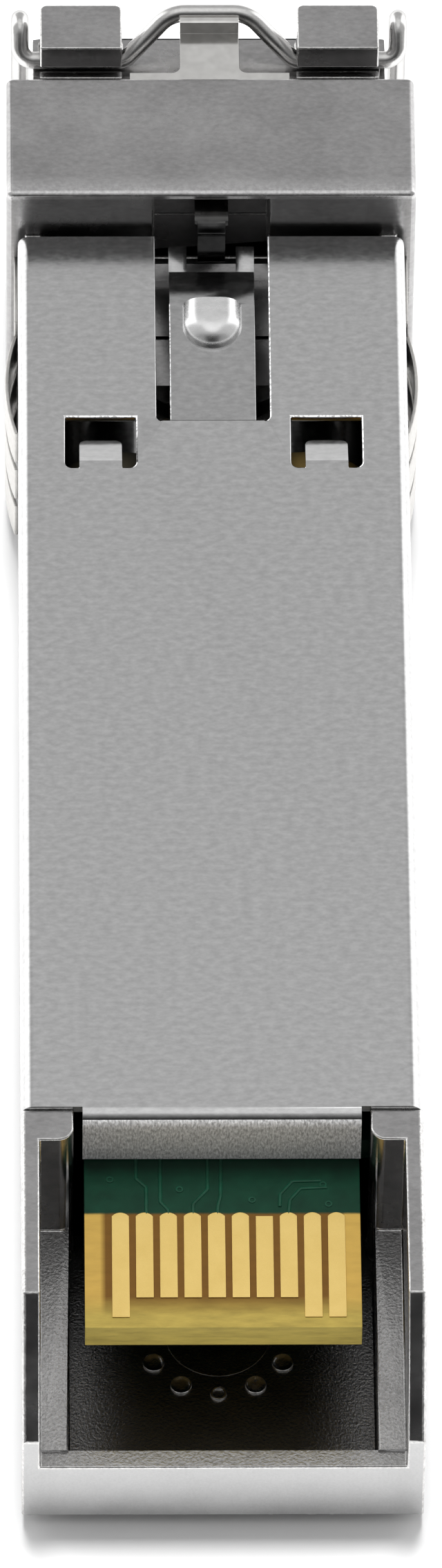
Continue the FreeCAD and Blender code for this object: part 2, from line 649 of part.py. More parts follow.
def pin_outline(x, y, radius, flats=8):
    angles = [2 * math.pi * (i + 0.5) / flats for i in range(flats)]
    return [(as_size(x) + radius * math.cos(a), as_size(y) + radius * math.sin(a)) for a in angles]


barrel_front = collar_rear + dim("barrel_reach")
sleeve_front = barrel_front - dim("lip_thick")
sleeve_rear = sleeve_front - dim("sleeve_length")
sleeve_out = dim("ferrule_radius") + dim("sleeve_wall")
sleeve_seat = sleeve_out + dim("fit_gap")
beam_radius = dim("stub_radius") + dim("fit_gap")
cup_bore = dim("cap_radius") + dim("cap_gap")
cup_radius = cup_bore + dim("cup_side")
cap_front = cup_floor - dim("cap_short")
barrel_profile = [
    (cup_bore, cup_rear), (cup_radius, cup_rear), (cup_radius, groove_rear),
    (dim("groove_radius"), groove_rear), (dim("groove_radius"), groove_front),
    (dim("flange_radius"), groove_front),
    (dim("flange_radius"), bulkhead_rear), (dim("barrel_radius"), bulkhead_rear),
    (dim("barrel_radius"), barrel_front), (dim("ferrule_radius"), barrel_front),
    (dim("ferrule_radius"), sleeve_front), (sleeve_seat, sleeve_front), (sleeve_seat, sleeve_rear),
    (beam_radius, sleeve_rear), (beam_radius, cup_floor), (cup_bore, cup_floor),
]
can_profile = [
    (0, header_rear), (header_radius, header_rear), (header_radius, cup_rear), (dim("cap_radius"), cup_rear),
    (dim("cap_radius"), cap_front), (0, cap_front),
]


def optical_set(kind, x, leads):
    turned(kind + "_barrel", x, barrel_profile)
    sleeve_rect = rectangle(dim("ferrule_radius"), sleeve_out, sleeve_rear, sleeve_front)
    sleeve = turned(kind + "_sleeve", x, sleeve_rect)
    half_slit = dim("sleeve_slit") * 0.5
    slit = rectangle(-half_slit, half_slit, sleeve_rear, sleeve_front)
    pocket(sleeve, kind + "_slit", "XY", 0, sleeve_seat, [slit])
    stub = doc.addObject("Part::Cylinder", kind + "_stub")
    stub.setExpression("Radius", dim("stub_radius").text)
    stub.setExpression("Height", dim("stub_length").text)
    stub.Placement.Rotation = FreeCAD.Rotation(FreeCAD.Vector(1, 0, 0), -90)
    place(stub, x, sleeve_rear - dim("stub_length"), axis_z)
    turned(kind + "_can", x, can_profile)
    angles = [2 * math.pi * (i + 0.5) / leads for i in range(leads)]
    spots = [(dim("lead_circle") * math.cos(a), dim("lead_circle") * math.sin(a)) for a in angles]
    pins = new_body(kind + "_leads")
    place(pins, x, 0, axis_z)
    pad(pins, kind + "_pins", "XZ", header_rear - dim("lead_length"), header_rear,
        [pin_outline(u, w, dim("lead_radius")) for u, w in spots])
    flex = new_body(kind + "_flex")
    place(flex, x)
    flex_top = board_top + dim("flex_thick")
    flex_low = axis_z - dim("flex_under")
    bent = [
        (flex_rear, board_top), (flex_back, board_top), (flex_back, flex_low), (flex_front, flex_low),
        (flex_front, board_top, dim("flex_thick")), (flex_back, flex_top), (flex_rear, flex_top),
    ]
    pad(flex, kind + "_ribbon", "YZ", -dim("flex_half"), dim("flex_half"), [bent])
    hole = dim("lead_radius") + dim("flex_hole_gap")
    pocket(flex, kind + "_holes", "XZ", flex_back, flex_front,
           [pin_outline(u, w + axis_z, hole) for u, w in spots])


optical_set("tosa", port_x, 4)
optical_set("rosa", -port_x, 5)

# Clamp plate standing in the barrels' grooves
clamp = new_body("osa_clamp")
clamp_rear = groove_rear + (dim("groove_width") - dim("clamp_thick")) * 0.5
clamp_front = clamp_rear + dim("clamp_thick")
clamp_top = axis_z + dim("clamp_over")
clamp_rect = rectangle(-wall_in, wall_in, dim("floor_thick"), clamp_top)
pad(clamp, "plate", "XZ", clamp_rear, clamp_front, [clamp_rect])
saddle = dim("groove_radius") + dim("clamp_gap")
saddle_top = rectangle(port_x - saddle, port_x + saddle, axis_z, clamp_top)
pocket(clamp, "saddles", "XZ", clamp_rear, clamp_front, [],
       [(port_x, axis_z, saddle), (-port_x, axis_z, saddle)])
pocket(clamp, "saddle_tops", "XZ", clamp_rear, clamp_front, [saddle_top, mirrored(saddle_top)])


# Chips and small parts on the board
def block(name, x, y, z, length, width, height):
    box = doc.addObject("Part::Box", name)
    box.setExpression("Length", length.text)
    box.setExpression("Width", width.text)
    box.setExpression("Height", height.text)
    place(box, as_size(x) - length * 0.5, as_size(y) - width * 0.5, z)
    return box


chip_height = dim("chip_height")
driver_side = dim("driver_side")
driver_y = flex_rear - dim("driver_back")
block("laser_driver", port_x, driver_y, board_top, driver_side, driver_side, chip_height)
block("limiting_amp", -port_x, driver_y, board_top, driver_side, driver_side, chip_height)
controller_side = dim("controller_side")
controller_y = board_step + dim("controller_step")
block("controller", 0, controller_y, board_low - chip_height, controller_side, controller_side, chip_height)


def group(name, row_y, height, count):
    boxes = []
    for i in range(count):
        x = dim("cap_pitch") * (i - (count - 1) * 0.5)
        box_name = "%s_%d" % (name, i + 1)
        boxes.append(block(box_name, x, row_y, board_top, dim("cap_width"), dim("cap_length"), height))
    joined = doc.addObject("Part::MultiFuse", name)
    joined.Shapes = boxes


group("capacitors", board_step + dim("cap_step"), dim("cap_width"), 6)
group("resistors", flex_rear - dim("resistor_back"), dim("resistor_height"), 5)
doc.recompute()

kept = [
    "housing", "bottom_cover", "latch_tongue", "bail", "release_slider", "emi_clip", "circuit_board",
    "contacts_upper", "contacts_lower", "osa_clamp", "laser_driver", "limiting_amp", "controller",
    "capacitors", "resistors",
]
for kind in ("tosa", "rosa"):
    kept += [kind + "_" + piece for piece in ("barrel", "sleeve", "stub", "can", "leads", "flex")]
for obj in doc.Objects:
    if "Invalid" in obj.State or "Error" in obj.State:
        raise RuntimeError("%s is in state %s" % (obj.Name, obj.State))
for name in kept:
    obj = doc.getObject(name)
    if obj.Shape.isNull() or not obj.Shape.isValid():
        raise RuntimeError(name + " has no valid shape")
    obj.Label = name
    obj.Shape.exportStep("parts/%s.step" % name)
print("%d pieces written" % len(kept))
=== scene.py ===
import bmesh
import bpy
import json
import math
from mathutils import Matrix, Vector


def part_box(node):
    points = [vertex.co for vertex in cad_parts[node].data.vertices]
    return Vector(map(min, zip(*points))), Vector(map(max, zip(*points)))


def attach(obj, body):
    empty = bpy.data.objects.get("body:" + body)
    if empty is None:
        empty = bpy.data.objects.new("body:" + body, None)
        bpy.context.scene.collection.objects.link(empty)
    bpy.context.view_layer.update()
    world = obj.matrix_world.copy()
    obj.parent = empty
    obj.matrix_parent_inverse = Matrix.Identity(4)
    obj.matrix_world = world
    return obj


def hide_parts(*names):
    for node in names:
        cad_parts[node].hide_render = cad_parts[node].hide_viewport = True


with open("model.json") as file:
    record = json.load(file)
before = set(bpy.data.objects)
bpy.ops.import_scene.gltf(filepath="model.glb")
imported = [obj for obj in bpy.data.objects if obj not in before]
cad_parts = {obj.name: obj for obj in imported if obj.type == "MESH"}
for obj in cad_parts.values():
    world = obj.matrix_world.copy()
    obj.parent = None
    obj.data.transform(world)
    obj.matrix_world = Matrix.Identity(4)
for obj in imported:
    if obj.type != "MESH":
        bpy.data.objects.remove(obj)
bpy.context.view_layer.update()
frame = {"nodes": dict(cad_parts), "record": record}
nodes = frame["nodes"]
mm = 0.001
hair = 0.001 * mm     # points closer than this are at one place
near = 0.01 * mm
smoothAngle = math.radians(40)
flatAngle = math.radians(1.0)
coverLow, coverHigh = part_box("bottom_cover")
tongueLow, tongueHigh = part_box("latch_tongue")
boardLow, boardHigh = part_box("circuit_board")
rowLow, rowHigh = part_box("contacts_upper")
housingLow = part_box("housing")[0]
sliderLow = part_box("release_slider")[0]
print("frame loaded:", len(nodes), "nodes")


# node helpers, for a finish or for the world
def addNode(owner, kind, **values):
    node = owner.node_tree.nodes.new(kind)
    for key, value in values.items():
        if hasattr(node, key):
            setattr(node, key, value)
        else:
            node.inputs[key.replace("_", " ")].default_value = value
    return node


def link(owner, source, target):
    owner.node_tree.links.new(source, target)


def newFinish(name, metallic, roughness, colour):
    mat = bpy.data.materials.new(name)
    mat.use_nodes = True
    shader = mat.node_tree.nodes["Principled BSDF"]
    shader.inputs["Metallic"].default_value = metallic
    shader.inputs["Roughness"].default_value = roughness
    shader.inputs["Base Color"].default_value = (*colour, 1)
    return mat, shader


def noiseAt(mat, size, stretch=(1, 1, 1), detail=3.0):
    coords = addNode(mat, "ShaderNodeTexCoord")
    mapping = addNode(mat, "ShaderNodeMapping", Scale=stretch)
    link(mat, coords.outputs["Object"], mapping.inputs["Vector"])
    noise = addNode(mat, "ShaderNodeTexNoise", Scale=1 / size, Detail=detail, Roughness=0.6)
    link(mat, mapping.outputs["Vector"], noise.inputs["Vector"])
    return noise.outputs["Fac"]


def placeAt(mat):
    coords = addNode(mat, "ShaderNodeTexCoord")
    parts = addNode(mat, "ShaderNodeSeparateXYZ")
    link(mat, coords.outputs["Object"], parts.inputs[0])
    return parts.outputs


def ramped(owner, source, low, high, outLow, outHigh, way="LINEAR"):
    node = addNode(owner, "ShaderNodeMapRange", interpolation_type=way, From_Min=low, From_Max=high,
                   To_Min=outLow, To_Max=outHigh)
    link(owner, source, node.inputs["Value"])
    return node.outputs["Result"]


def combined(owner, operation, a, b):
    node = addNode(owner, "ShaderNodeMath", operation=operation)
    for socket, value in zip(node.inputs, (a, b)):
        if isinstance(value, (int, float)):
            socket.default_value = value
        else:
            link(owner, value, socket)
    return node.outputs[0]


noiseSpan = (0.3, 0.7)     # nearly all of a noise lies between these
mixedSpan = (0.35, 0.65)   # and of two noises mixed
blotchShare = 0.45


def toned(mat, source, colourA, colourB, low=noiseSpan[0], high=noiseSpan[1]):
    tone = addNode(mat, "ShaderNodeValToRGB")
    for stop, position, colour in zip(tone.color_ramp.elements, (low, high), (colourA, colourB)):
        stop.position = position
        stop.color = (*colour, 1)
    link(mat, source, tone.inputs["Fac"])
    return tone.outputs["Color"]


def picked(mat, factor, colourA, colourB):
    node = addNode(mat, "ShaderNodeMix", data_type="RGBA")
    link(mat, factor, node.inputs[0])
    link(mat, colourA, node.inputs[6])
    link(mat, colourB, node.inputs[7])
    return node.outputs[2]


def bumped(mat, source, depth):
    bump = addNode(mat, "ShaderNodeBump", Strength=1.0, Distance=depth)
    link(mat, source, bump.inputs["Height"])
    return bump.outputs["Normal"]


def grey(level):
    return (level, level, level)


def scaled(colour, share):
    return tuple(c * share for c in colour)


def grained(name, maker):
    # fine grain over slow blotches, in the shader's colour, roughness and normal
    mat, shader = newFinish(name, maker.get("metallic", 1.0), maker["rough"][0], maker["pale"])
    grain = noiseAt(mat, maker["grain"], maker.get("stretch", (1, 1, 1)))
    blotch = noiseAt(mat, maker["blotch"], detail=4.0)
    both = addNode(mat, "ShaderNodeMix", data_type="FLOAT")
    both.inputs[0].default_value = blotchShare
    link(mat, grain, both.inputs[2])
    link(mat, blotch, both.inputs[3])
    tone = toned(mat, both.outputs[0], maker["dark"], maker["pale"], *mixedSpan)
    link(mat, tone, shader.inputs["Base Color"])
    link(mat, ramped(mat, blotch, *noiseSpan, *maker["rough"]), shader.inputs["Roughness"])
    link(mat, bumped(mat, grain, maker["bump"]), shader.inputs["Normal"])
    return mat, shader


castMaker = {"dark": (0.34, 0.335, 0.335), "pale": (0.46, 0.455, 0.455), "rough": (0.20, 0.30),
             "grain": 0.16 * mm, "stretch": (0.6, 1, 1), "blotch": 2.2 * mm, "bump": 0.004 * mm,
             "polished": ((0.50, 0.495, 0.495), (0.64, 0.635, 0.635)),
             "sheenNearEdge": (20.55 * mm, 19.75 * mm), "sheenOnTop": (10.6 * mm, 10.7 * mm)}


def castMetal():
    mat, shader = grained("castMetal", castMaker)
    # a painted highlight, paler on top of the collar beside its rear edge
    place = placeAt(mat)
    nearEdge = ramped(mat, place["Y"], *castMaker["sheenNearEdge"], 0.0, 1.0)
    onTop = ramped(mat, place["Z"], *castMaker["sheenOnTop"], 0.0, 1.0)
    pale = toned(mat, noiseAt(mat, castMaker["grain"]), *castMaker["polished"], *mixedSpan)
    plain = shader.inputs["Base Color"].links[0].from_socket
    sheenShare = combined(mat, "MULTIPLY", nearEdge, onTop)
    link(mat, picked(mat, sheenShare, plain, pale), shader.inputs["Base Color"])
    return mat


# the casting's rounded corners: brighter, partly from wear and partly a painted highlight, and broken by
# coarse grain
edgeWearGlintMaker = {"dark": (0.42, 0.415, 0.41), "pale": (0.78, 0.775, 0.765), "rough": (0.18, 0.30),
             "grain": 0.11 * mm, "blotch": 0.5 * mm, "bump": 0.010 * mm}
# the recess, ledges and lip, left with the mould's grain
rawMaker = {"dark": (0.32, 0.315, 0.31), "pale": (0.54, 0.535, 0.53), "rough": (0.25, 0.27),
            "grain": 0.10 * mm, "blotch": 3.0 * mm, "bump": 0.018 * mm}
# the rear end's face: ground smooth, and painted paler to stand for light from the front
groundPaintedLightMaker = {"dark": grey(0.47), "pale": grey(0.535), "rough": (0.32, 0.40),
             "grain": 0.08 * mm, "blotch": 1.5 * mm, "bump": 0.001 * mm}
stripMaker = {"dark": (0.76, 0.75, 0.73), "pale": (0.84, 0.83, 0.81), "rough": (0.2, 0.3),
              "grain": 0.1 * mm, "blotch": 1.2 * mm, "bump": 0.002 * mm}
goldMaker = {"metallic": 0.8, "dark": (0.78, 0.55, 0.17), "pale": (0.87, 0.64, 0.225),
             "rough": (0.28, 0.38), "grain": 0.05 * mm, "stretch": (6, 1, 1), "blotch": 1.0 * mm,
             "bump": 0.001 * mm}
wireSkin = {"dark": (0.62, 0.615, 0.605), "pale": (0.72, 0.715, 0.705), "rough": (0.18, 0.28),
            "grain": 0.1 * mm, "blotch": 1.0 * mm, "bump": 0.001 * mm, "rimTint": 0.55}


def brightWire():
    mat, shader = grained("brightWire", wireSkin)
    shader.inputs["Specular Tint"].default_value = (*grey(wireSkin["rimTint"]), 1)
    return mat


sheetMaker = {"grain": 0.2 * mm, "stretch": (0.55, 1, 1), "roughSpan": 0.05, "bump": 0.0012 * mm}


def satinSheet(name, dark, pale, rough=0.17):
    # an even grain, longer across the sheet than along it
    mat, shader = newFinish(name, 1.0, rough, pale)
    grain = noiseAt(mat, sheetMaker["grain"], sheetMaker["stretch"], 2.0)
    link(mat, toned(mat, grain, dark, pale), shader.inputs["Base Color"])
    roughness = ramped(mat, grain, *noiseSpan, rough, rough + sheetMaker["roughSpan"])
    link(mat, roughness, shader.inputs["Roughness"])
    link(mat, bumped(mat, grain, sheetMaker["bump"]), shader.inputs["Normal"])
    return mat


glintSkin = {"metallic": 0.2, "rough": 0.4, "specks": 0.12 * mm, "gaps": (0.42, 0.54),
            "dull": grey(0.45), "bright": grey(0.98)}


def paintedGlintEdge():
    # painted highlight on the punched openings' rolled edges, broken into specks
    mat, shader = newFinish("paintedGlintEdge", glintSkin["metallic"], glintSkin["rough"], glintSkin["bright"])
    specks = noiseAt(mat, glintSkin["specks"], detail=1.0)
    tone = toned(mat, specks, glintSkin["dull"], glintSkin["bright"], *glintSkin["gaps"])
    link(mat, tone, shader.inputs["Base Color"])
    return mat


# the dull tones are painted shade, where the strip runs under the collar
slideMaker = {"grain": 0.4 * mm, "dull": (grey(0.035), grey(0.055)), "rough": (0.14, 0.18),
              "bright": (stripMaker["dark"], stripMaker["pale"]), "shadeEnds": (18.9 * mm, 21.0 * mm)}


def slideStripPaintedShade():
    # bright ahead; painted shade, nearly black, where it runs in the channel under the collar
    mat, shader = newFinish("slideStripPaintedShade", 1.0, slideMaker["rough"][0], stripMaker["pale"])
    grain = noiseAt(mat, slideMaker["grain"], detail=1.0)
    dull = toned(mat, grain, *slideMaker["dull"])
    bright = toned(mat, grain, *slideMaker["bright"])
    ahead = ramped(mat, placeAt(mat)["Y"], *slideMaker["shadeEnds"], 0.0, 1.0)
    link(mat, picked(mat, ahead, dull, bright), shader.inputs["Base Color"])
    link(mat, ramped(mat, grain, *noiseSpan, *slideMaker["rough"]), shader.inputs["Roughness"])
    return mat


millMaker = {"metallic": 0.1, "rough": 0.55, "strokes": 0.09 * mm, "stretch": (1.4, 1, 0.5),
             "dark": (0.36, 0.36, 0.365), "pale": (0.98, 0.98, 0.99), "bump": 0.02 * mm}


def milledFace():
    # coarse upright strokes on the folded rear edge
    mat, shader = newFinish("milledFace", millMaker["metallic"], millMaker["rough"], millMaker["dark"])
    strokes = noiseAt(mat, millMaker["strokes"], millMaker["stretch"], 2.0)
    link(mat, toned(mat, strokes, millMaker["dark"], millMaker["pale"]), shader.inputs["Base Color"])
    link(mat, bumped(mat, strokes, millMaker["bump"]), shader.inputs["Normal"])
    return mat


boardMaker = {"edge": 0.02 * mm, "rough": 0.42, "shine": 0.25, "maskRough": 0.3, "maskShine": 0.35,
              "tan": (0.36, 0.23, 0.05), "olive": (0.30, 0.225, 0.05), "endOlive": (0.56, 0.43, 0.097),
              "brown": (0.105, 0.048, 0.006), "green": (0.001, 0.016, 0.008),
              "paleGreen": (0.002, 0.026, 0.013), "traceGreen": (0.003, 0.040, 0.021),
              "fibre": 0.25 * mm, "fibreStretch": (0.25, 1, 1.6),
              "bump": 0.006 * mm, "blotch": 0.8 * mm, "traceBlotch": 0.3 * mm,
              "wanderSize": 0.5 * mm, "wander": 0.06 * mm, "maskSoft": 0.05 * mm, "rowSoft": 0.2 * mm,
              "oliveSpan": (0.1 * mm, 0.9 * mm), "endSpan": (0.005 * mm, 0.02 * mm)}


def boardFinish():
    # green mask ahead of the contacts, bare laminate under and behind them, darker brown across the width
    # of the contacts' row
    mat, shader = newFinish("boardFinish", 0.0, boardMaker["rough"], boardMaker["tan"])
    shader.inputs["Specular IOR Level"].default_value = boardMaker["shine"]
    fibre = noiseAt(mat, boardMaker["fibre"], boardMaker["fibreStretch"], 4.0)

    def fibred(key, share):
        return toned(mat, fibre, scaled(boardMaker[key], share), boardMaker[key])

    place = placeAt(mat)
    wander = combined(mat, "MULTIPLY", noiseAt(mat, boardMaker["wanderSize"]), boardMaker["wander"])
    along = combined(mat, "ADD", place["Y"], wander)
    across = combined(mat, "ABSOLUTE", place["X"], 0.0)
    soft = boardMaker["maskSoft"]
    masked = ramped(mat, along, rowHigh.y - soft, rowHigh.y + soft, 0.0, 1.0)
    nearRow = ramped(mat, across, rowHigh.x, rowHigh.x - boardMaker["rowSoft"], 0.0, 1.0)
    oliveSpan = [rowLow.y + far for far in boardMaker["oliveSpan"]]
    endSpan = [boardLow.y + far for far in boardMaker["endSpan"]]
    nearEnd = ramped(mat, along, *oliveSpan, 1.0, 0.0)
    atEnd = ramped(mat, place["Y"], *endSpan, 1.0, 0.0)
    bare = picked(mat, nearRow, fibred("tan", 0.85), fibred("brown", 0.85))
    bare = picked(mat, nearEnd, bare, fibred("olive", 0.7))
    bare = picked(mat, atEnd, bare, fibred("endOlive", 0.7))
    green = toned(mat, noiseAt(mat, boardMaker["blotch"]), boardMaker["green"], boardMaker["paleGreen"])
    link(mat, picked(mat, masked, bare, green), shader.inputs["Base Color"])
    link(mat, bumped(mat, fibre, boardMaker["bump"]), shader.inputs["Normal"])
    return mat


def maskOver():
    mat, shader = newFinish("maskOver", 0.0, boardMaker["maskRough"], boardMaker["green"])
    shader.inputs["Specular IOR Level"].default_value = boardMaker["maskShine"]
    blotch = noiseAt(mat, boardMaker["traceBlotch"])
    tone = toned(mat, blotch, boardMaker["paleGreen"], boardMaker["traceGreen"])
    link(mat, tone, shader.inputs["Base Color"])
    return mat


chipMaker = {"metallic": 0.0, "rough": (0.45, 0.6), "grain": 0.08 * mm, "blotch": 0.8 * mm,
             "bump": 0.003 * mm, "lift": 1.3}


def mouldedChip(name, colour):
    return grained(name, {**chipMaker, "dark": colour, "pale": scaled(colour, chipMaker["lift"])})[0]


castFinish = castMetal()
edgeWearGlintFinish = grained("castEdgeWearAndGlint", edgeWearGlintMaker)[0]
groundPaintedLightFinish = grained("groundCastPaintedLight", groundPaintedLightMaker)[0]
rawFinish = grained("rawCast", rawMaker)[0]
sheetFinish = satinSheet("satinSheet", grey(0.52), grey(0.63))
tongueFinish = satinSheet("springSheet", grey(0.43), grey(0.53))
tabPaintedLightFinish = satinSheet("tabSheetPaintedLight", grey(0.84), grey(0.94))
bossFinish = satinSheet("drawnBoss", grey(0.78), grey(0.86), rough=0.24)
clipFinish = satinSheet("clipStrip", (0.55, 0.54, 0.52), (0.64, 0.63, 0.61), rough=0.42)
paintedGlintFinish = paintedGlintEdge()
wireFinish = brightWire()
slidePaintedShadeFinish = slideStripPaintedShade()
goldFinish = grained("goldPlate", goldMaker)[0]
millFinish = milledFace()
boardSkin = boardFinish()
traceSkin = maskOver()
finishes = {
    "die_cast": castFinish, "plated_sheet": sheetFinish, "turned_steel": sheetFinish,
    "bright_wire": wireFinish, "spring_sheet": clipFinish, "board": boardSkin,
    "gold": goldFinish, "gold_can": goldFinish,
    "steel_strip": grained("rolledStrip", stripMaker)[0],
    "chip_black": mouldedChip("mouldedBlack", (0.02, 0.02, 0.02)),
    "chip_tan": mouldedChip("firedTan", (0.4, 0.28, 0.18)),
    "chip_dark": mouldedChip("firedDark", (0.05, 0.05, 0.06)),
    "white_ceramic": mouldedChip("groundCeramic", (0.8, 0.8, 0.77)),
    "amber_film": mouldedChip("amberFilm", (0.5, 0.24, 0.04)),
}
# the two gold cans show a little through the windows in painted shade: dark amber, and the receiver's
# nearly black
canShadeSkins = {"tosa_can": mouldedChip("goldCanPaintedShade", (0.06, 0.04, 0.01)),
            "rosa_can": mouldedChip("goldCanPaintedDeepShade", (0.015, 0.013, 0.008))}
for part in frame["record"]["subparts"]:
    node, slot = part["node"], part["material_slot"]
    nodes[node].data.materials.clear()
    nodes[node].data.materials.append(canShadeSkins.get(node, finishes[slot]))
print("finishes assigned")


# modelling helpers
def only(obj):
    if bpy.context.object and bpy.context.object.mode != "OBJECT":
        bpy.ops.object.mode_set(mode="OBJECT")
    bpy.ops.object.select_all(action="DESELECT")
    obj.select_set(True)
    bpy.context.view_layer.objects.active = obj


def pickParts(piece, kind, wanted):
    # leaves the piece in edit mode, with only the wanted points, edges or faces selected
    only(piece)
    bpy.ops.object.mode_set(mode="EDIT")
    bpy.ops.mesh.select_mode(type=kind)
    bpy.ops.mesh.select_all(action="DESELECT")
    bpy.ops.object.mode_set(mode="OBJECT")
    parts = {"VERT": piece.data.vertices, "EDGE": piece.data.edges, "FACE": piece.data.polygons}
    for part in parts[kind]:
        part.select = wanted(part)
    bpy.ops.object.mode_set(mode="EDIT")


def facesUp(face):
    return face.normal.z > 0.9


def mergedCopy(node, name):
    piece = bpy.data.objects.new(name, nodes[node].data.copy())
    bpy.context.scene.collection.objects.link(piece)
    only(piece)
    bpy.ops.object.mode_set(mode="EDIT")
    bpy.ops.mesh.select_all(action="SELECT")
    bpy.ops.mesh.remove_doubles(threshold=hair / 2)
    bpy.ops.mesh.dissolve_limited(angle_limit=flatAngle)
    bpy.ops.object.mode_set(mode="OBJECT")
    return piece


def runsOn(edge, point, weight, angle):
    way = edge.other_vert(point).co - point.co
    others = [e for e in point.link_edges if e is not edge and e[weight] > 0]
    return [way.angle(e.other_vert(point).co - point.co) > angle for e in others]


sharpMaker = {"ahead": math.radians(130), "beside": math.radians(30), "short": 2.5}


def markSharp(piece, width, angle, shareOf):
    # sharp edges worth rounding
    # a short stray one, or two that leave a point side by side, would throw spikes
    shape = bmesh.new()
    shape.from_mesh(piece.data)
    weight = shape.edges.layers.float.new("bevel_weight_edge")
    for edge in shape.edges:
        if len(edge.link_faces) == 2 and edge.calc_face_angle(0) > math.radians(angle):
            edge[weight] = shareOf(edge) if shareOf else 1
    strays = []
    for edge in shape.edges:
        if edge[weight] > 0:
            ends = [runsOn(edge, point, weight, sharpMaker["ahead"]) for point in edge.verts]
            beside = [runsOn(edge, point, weight, sharpMaker["beside"]) for point in edge.verts]
            lone = edge.calc_length() < sharpMaker["short"] * width and not all(any(end) for end in ends)
            if lone or not all(all(end) for end in beside):
                strays.append(edge)
    for edge in strays:
        edge[weight] = 0
    shape.to_mesh(piece.data)
    shape.free()


def softened(piece, width, segments=2, angle=28, clamp=True, edgeSlot=-1, shareOf=None):
    only(piece)
    markSharp(piece, width, angle, shareOf)
    bevel = piece.modifiers.new("soften", "BEVEL")
    bevel.width = width
    bevel.segments = segments
    bevel.limit_method = "WEIGHT"
    bevel.use_clamp_overlap = clamp
    bevel.material = edgeSlot
    bpy.ops.object.modifier_apply(modifier="soften")
    bpy.ops.object.shade_smooth_by_angle(angle=smoothAngle)
    even = piece.modifiers.new("even", "WEIGHTED_NORMAL")
    even.keep_sharp = True
    bpy.ops.object.modifier_apply(modifier="even")


def roundUprights(piece, wanted, radius):
    # rounds the upright corners whose place passes the test
    def isUpright(edge):
        a, b = (piece.data.vertices[i].co for i in edge.vertices)
        return abs(a.x - b.x) + abs(a.y - b.y) < hair and wanted(a)

    pickParts(piece, "EDGE", isUpright)
    bpy.ops.mesh.bevel(offset=radius, segments=4, affect="EDGES")
    bpy.ops.mesh.select_all(action="SELECT")
    bpy.ops.mesh.remove_doubles(threshold=hair)
    bpy.ops.object.mode_set(mode="OBJECT")


def wears(piece, *skins):
    piece.data.materials.clear()
    for skin in skins:
        piece.data.materials.append(skin)


def standsFor(piece, body, node):
    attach(piece, body)
    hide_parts(node)
    print("piece", piece.name, len(piece.data.polygons), "faces")


def addsTo(body, piece, skin):
    wears(piece, skin)
    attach(piece, body)


# softened copies of the solids that show sharp edges
housingMaker = {"node": "housing", "edge": 0.07 * mm, "longEdge": 0.15 * mm, "longFrom": 1.5 * mm,
                "skirtIn": 6.1 * mm, "rawEnd": -18.0 * mm, "rawPast": 1.0 * mm, "rawTop": 4.0 * mm,
                "rearSkin": 0.02 * mm, "rearFacing": -0.95, "ledgeEnd": 0.45 * mm, "ledgeShift": 0.2 * mm,
                "ledgeTop": 3.75 * mm, "ledgeFall": 0.4 * mm, "ledgeNear": 0.12 * mm,
                "collarBack": 21 * mm, "channelHalf": 2.2 * mm, "channelEnds": (13 * mm, 19.6 * mm)}
castSkins = [castFinish, edgeWearGlintFinish, groundPaintedLightFinish, rawFinish]
castHousing = mergedCopy(housingMaker["node"], "castHousing")
wears(castHousing, *castSkins)
for point in castHousing.data.vertices:     # the ledges run out ahead of the lip, nearly level with it
    if abs(point.co.y - housingLow.y - housingMaker["ledgeEnd"]) < near:
        point.co.y += housingMaker["ledgeShift"]
        if abs(point.co.z - housingMaker["ledgeTop"]) < near:
            point.co.z -= housingMaker["ledgeFall"]
# the collar's rear top edge rolls over and then breaks off, where the solid has a full quarter round
rollMaker = {"face": 19.6725 * mm, "round": 0.2 * mm, "side": 0.05 * mm, "midX": 6.85 * mm,
             "midZ": 10.65 * mm, "share": 0.6}
rollRadius = rollMaker["round"] / math.sin(math.pi / 2 * rollMaker["share"])
rollStart = rollMaker["face"] + rollMaker["round"]
for point in castHousing.data.vertices:
    rise = point.co.z - rollMaker["midZ"]
    if rise > hair and rollMaker["face"] - hair < point.co.y < rollStart:
        turn = math.asin(min(1, (rollStart - point.co.y) / rollMaker["round"]))
        part = turn * rollMaker["share"]
        oldReach = rollMaker["side"] + rollMaker["round"] * math.cos(turn)
        newReach = rollMaker["side"] + rollMaker["round"] - rollRadius * (1 - math.cos(part))
        upward = min(1, rise / oldReach)
        grow = 1 + (newReach / oldReach - 1) * upward
        beyond = max(0, abs(point.co.x) - rollMaker["midX"])
        point.co.x += math.copysign(beyond * (grow - 1), point.co.x)
        point.co.y += (rollStart - rollRadius * math.sin(part) - point.co.y) * upward
        point.co.z = rollMaker["midZ"] + rise * grow
for face in castHousing.data.polygons:
    atRear = face.center.y < housingMaker["rawEnd"] and face.center.z < housingMaker["rawTop"]
    onEnd = face.center.y < housingLow.y + housingMaker["rearSkin"]
    # painted light: the rear end's face takes the paler ground finish
    if onEnd and face.normal.y < housingMaker["rearFacing"]:
        face.material_index = castSkins.index(groundPaintedLightFinish)
    elif atRear and facesUp(face):
        face.material_index = castSkins.index(rawFinish)


